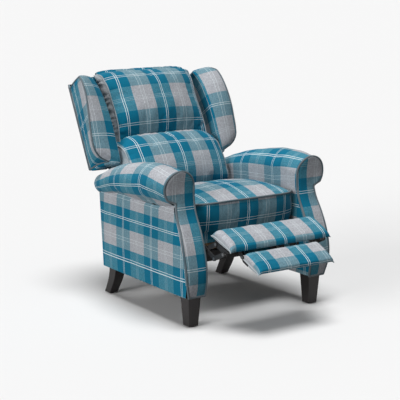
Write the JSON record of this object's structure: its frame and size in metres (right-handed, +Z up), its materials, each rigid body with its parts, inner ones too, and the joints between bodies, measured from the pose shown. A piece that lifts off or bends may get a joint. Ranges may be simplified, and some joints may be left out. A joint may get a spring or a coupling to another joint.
{
  "type": "wingback recliner chair",
  "caption": "Push-back wingback recliner with rolled arms, crowned seat, stacked back pillows, scissor-linked folding footrest and tapered legs.",
  "frame": {"origin": "floor level under the middle of the chair's overall box, as drawn half reclined with the footrest out", "axes": "+Z up, the sitter faces -Y, +X is on the right of someone looking at the front"},
  "size_m": [0.8162, 1.1603, 0.9309],
  "materials": {
    "plaid_fabric": "woven teal and grey checked fabric, matt",
    "leg_wood": "dark brown stain, satin",
    "frame_wood": "bare frame timber and plywood",
    "glide_nylon": "black nylon",
    "webbing": "black polypropylene webbing and felt",
    "black_steel": "black enamel, semi-gloss",
    "bright_steel": "zinc plated"
  },
  "bodies": {
    "base": {"leg_front_left": "leg_wood", "leg_front_right": "leg_wood", "leg_rear_left": "leg_wood", "leg_rear_right": "leg_wood", "leg_glides": "glide_nylon", "leg_bolts": "bright_steel", "middle_rail": "leg_wood", "rear_rail": "frame_wood", "rear_panel": "plaid_fabric", "inner_arm_pad_left": "plaid_fabric", "inner_arm_pad_right": "plaid_fabric", "outer_side_pad_left": "plaid_fabric", "outer_side_pad_right": "plaid_fabric", "arm_roll_left": "plaid_fabric", "arm_roll_right": "plaid_fabric", "arm_facing_left": "plaid_fabric", "arm_facing_right": "plaid_fabric", "side_boards": "frame_wood", "arm_rails": "frame_wood", "base_plates": "black_steel", "base_plate_bolts": "bright_steel"},
    "seat": {"seat_plates": "black_steel", "guide_rollers": "bright_steel", "seat_side_rails": "frame_wood", "seat_front_rail": "frame_wood", "seat_rear_rail": "frame_wood", "seat_straps": "webbing", "seat_deck": "webbing", "seat_cushion": "plaid_fabric", "seat_cross_tube": "black_steel", "back_pivot_pins": "bright_steel", "drive_pivot_pins": "bright_steel", "seat_bolts": "bright_steel"},
    "back": {"back_posts": "frame_wood", "back_top_rail": "frame_wood", "back_middle_rail": "frame_wood", "back_bottom_rail": "frame_wood", "back_webbing": "webbing", "outside_back": "plaid_fabric", "lumbar_cushion": "plaid_fabric", "head_cushion": "plaid_fabric", "wing_boards": "frame_wood", "wing_pad_left": "plaid_fabric", "wing_pad_right": "plaid_fabric", "wing_spacers": "frame_wood", "back_brackets": "black_steel", "back_bolts": "bright_steel"},
    "drive_link": {"drive_links": "black_steel", "drive_rivets": "bright_steel"},
    "cross_link": {"cross_links": "black_steel", "cross_rivets": "bright_steel"},
    "tip_link": {"tip_links": "black_steel"},
    "footrest": {"footrest_brackets": "black_steel", "footrest_board": "frame_wood", "footrest_pad": "plaid_fabric", "footrest_rivets": "bright_steel", "flipper_hangers": "black_steel"},
    "flipper": {"flipper_arms": "black_steel", "flipper_board": "frame_wood", "flipper_pad": "plaid_fabric"}
  },
  "joints": [
    {"name": "seat_glide", "type": "slide", "parent": "base", "child": "seat", "axis": [0, -1, 0], "range_m": [-0.024, 0.024]},
    {"name": "back_recline", "type": "hinge", "parent": "seat", "child": "back", "pos_m": [0, 0.218, 0.36], "axis": [-1, 0, 0], "range_deg": [-14, 14]},
    {"name": "footrest_fold", "type": "hinge", "parent": "seat", "child": "drive_link", "pos_m": [0, -0.259, 0.336], "axis": [1, 0, 0], "range_deg": [-3, 58]},
    {"name": "link_cross", "type": "hinge", "parent": "drive_link", "child": "cross_link", "pos_m": [0, -0.31882, 0.30811], "axis": [1, 0, 0], "range_deg": [-116, 6]},
    {"name": "link_tip", "type": "hinge", "parent": "drive_link", "child": "tip_link", "pos_m": [0, -0.37863, 0.28021], "axis": [1, 0, 0], "range_deg": [-116, 6]},
    {"name": "footrest_turn", "type": "hinge", "parent": "cross_link", "child": "footrest", "pos_m": [0, -0.37863, 0.336], "axis": [1, 0, 0], "range_deg": [-6, 116]},
    {"name": "flipper_fold", "type": "hinge", "parent": "footrest", "child": "flipper", "pos_m": [0, -0.47363, 0.29566], "axis": [1, 0, 0], "range_deg": [-9.2, 175.6]}
  ],
  "couplings": [
    {"joint": "seat_glide", "follows": "back_recline", "m_per_rad": 0.09},
    {"joint": "link_cross", "follows": "footrest_fold", "ratio": -2},
    {"joint": "link_tip", "follows": "footrest_fold", "ratio": -2},
    {"joint": "footrest_turn", "follows": "footrest_fold", "ratio": 2},
    {"joint": "flipper_fold", "follows": "footrest_fold", "ratio": 3.0259}
  ]
}
